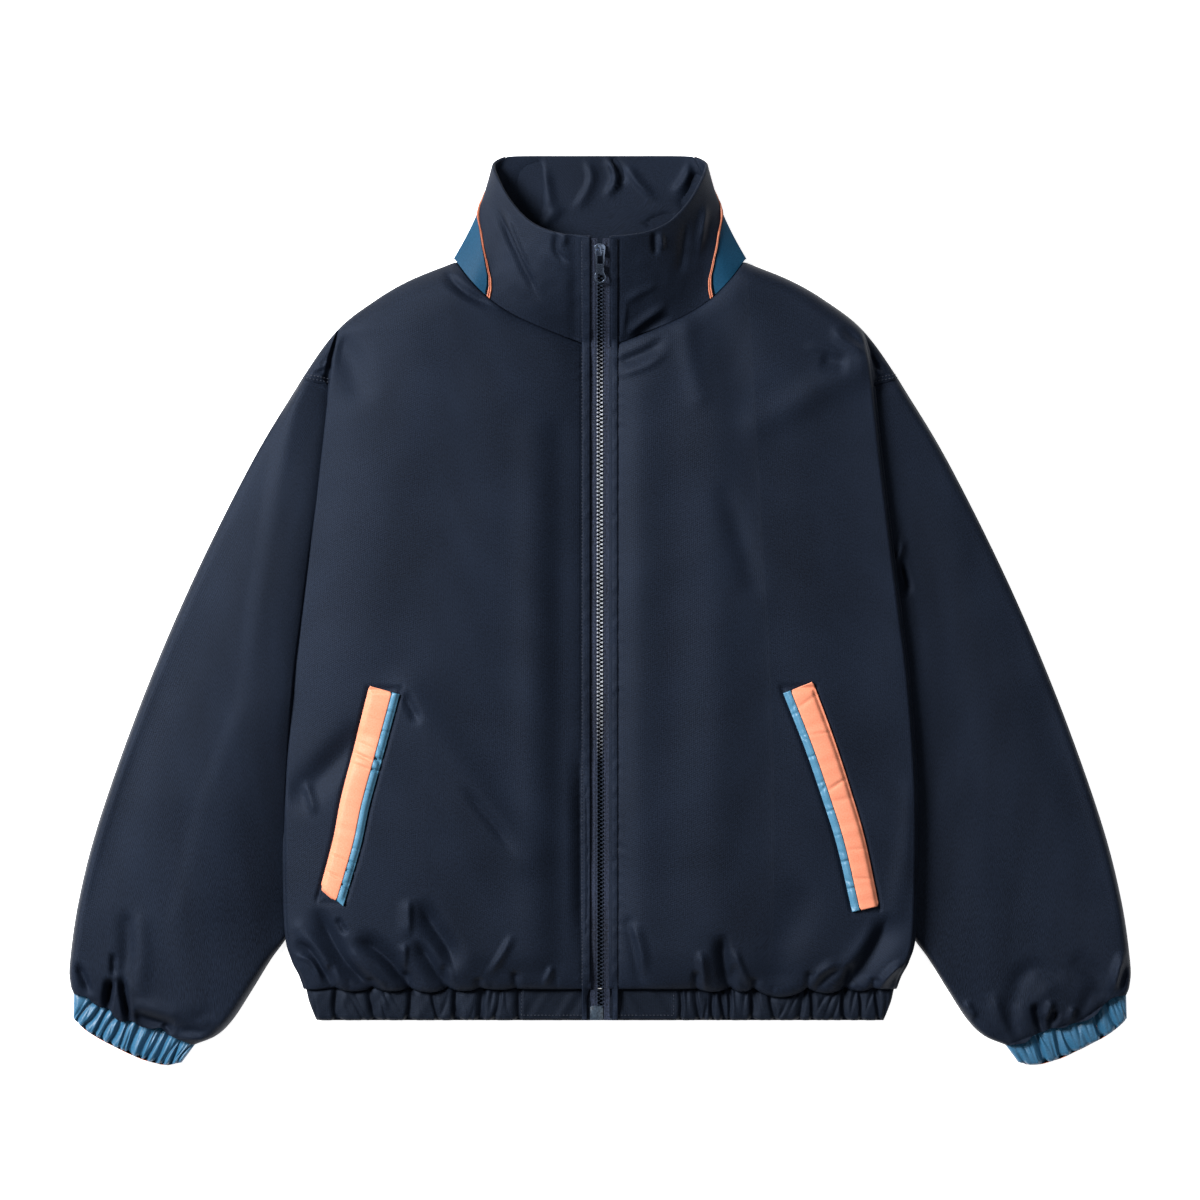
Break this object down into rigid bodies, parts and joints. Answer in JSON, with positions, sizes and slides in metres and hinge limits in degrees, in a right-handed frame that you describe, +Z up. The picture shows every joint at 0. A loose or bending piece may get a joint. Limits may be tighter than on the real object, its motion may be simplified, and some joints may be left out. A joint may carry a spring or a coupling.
{
  "type": "windbreaker",
  "caption": "Hip-length zipped windbreaker with stand collar, drop shoulders, slanted pocket welts and gathered cuffs and hem, laid flat on its back",
  "frame": {"origin": "middle of the overall box, on the surface that the windbreaker lies on", "axes": "+X to the wearer's left, along the width over both sleeves; +Y from the hem to the collar; +Z up off the surface, out of the front"},
  "size_m": [0.8912, 0.7642, 0.059],
  "materials": {
    "navy_shell": "soft satin sheen of a brushed polyester",
    "navy_band": "soft satin",
    "blue_satin": "satin",
    "orange_satin": "satin",
    "zip_tape_black": "matt woven tape",
    "zip_teeth_grey": "semi-matt",
    "gunmetal": "dark satin metal",
    "clear_film": "clear glossy film"
  },
  "bodies": {
    "jacket": {"back": "navy_shell", "front_right": "navy_shell", "front_left": "navy_shell", "sleeve_right": "navy_shell", "sleeve_left": "navy_shell", "collar_front_right": "navy_shell", "collar_front_left": "navy_shell", "collar_inner_back": "navy_shell", "hem_band_back": "navy_band", "hem_band_front_right": "navy_band", "hem_band_front_left": "navy_band", "collar_back": "blue_satin", "cuff_right": "blue_satin", "cuff_left": "blue_satin", "pocket_piping_right": "blue_satin", "pocket_piping_left": "blue_satin", "cuff_facing_right": "orange_satin", "cuff_facing_left": "orange_satin", "collar_piping_right": "orange_satin", "collar_piping_left": "orange_satin", "pocket_welt_right": "orange_satin", "pocket_welt_left": "orange_satin", "zip_tape_right": "zip_tape_black", "zip_tape_left": "zip_tape_black", "zip_chain_right": "zip_teeth_grey", "zip_chain_left": "zip_teeth_grey", "zip_slider": "gunmetal", "zip_box": "gunmetal", "zip_film_right": "clear_film", "zip_film_left": "clear_film"},
    "zip_pull": {"zip_pull": "gunmetal"}
  },
  "joints": [
    {"name": "zip_pull_hinge", "type": "hinge", "parent": "jacket", "child": "zip_pull", "pos_m": [0, 0.29993, 0.05551], "axis": [-1, 0, 0], "range_deg": [0, 165]}
  ]
}
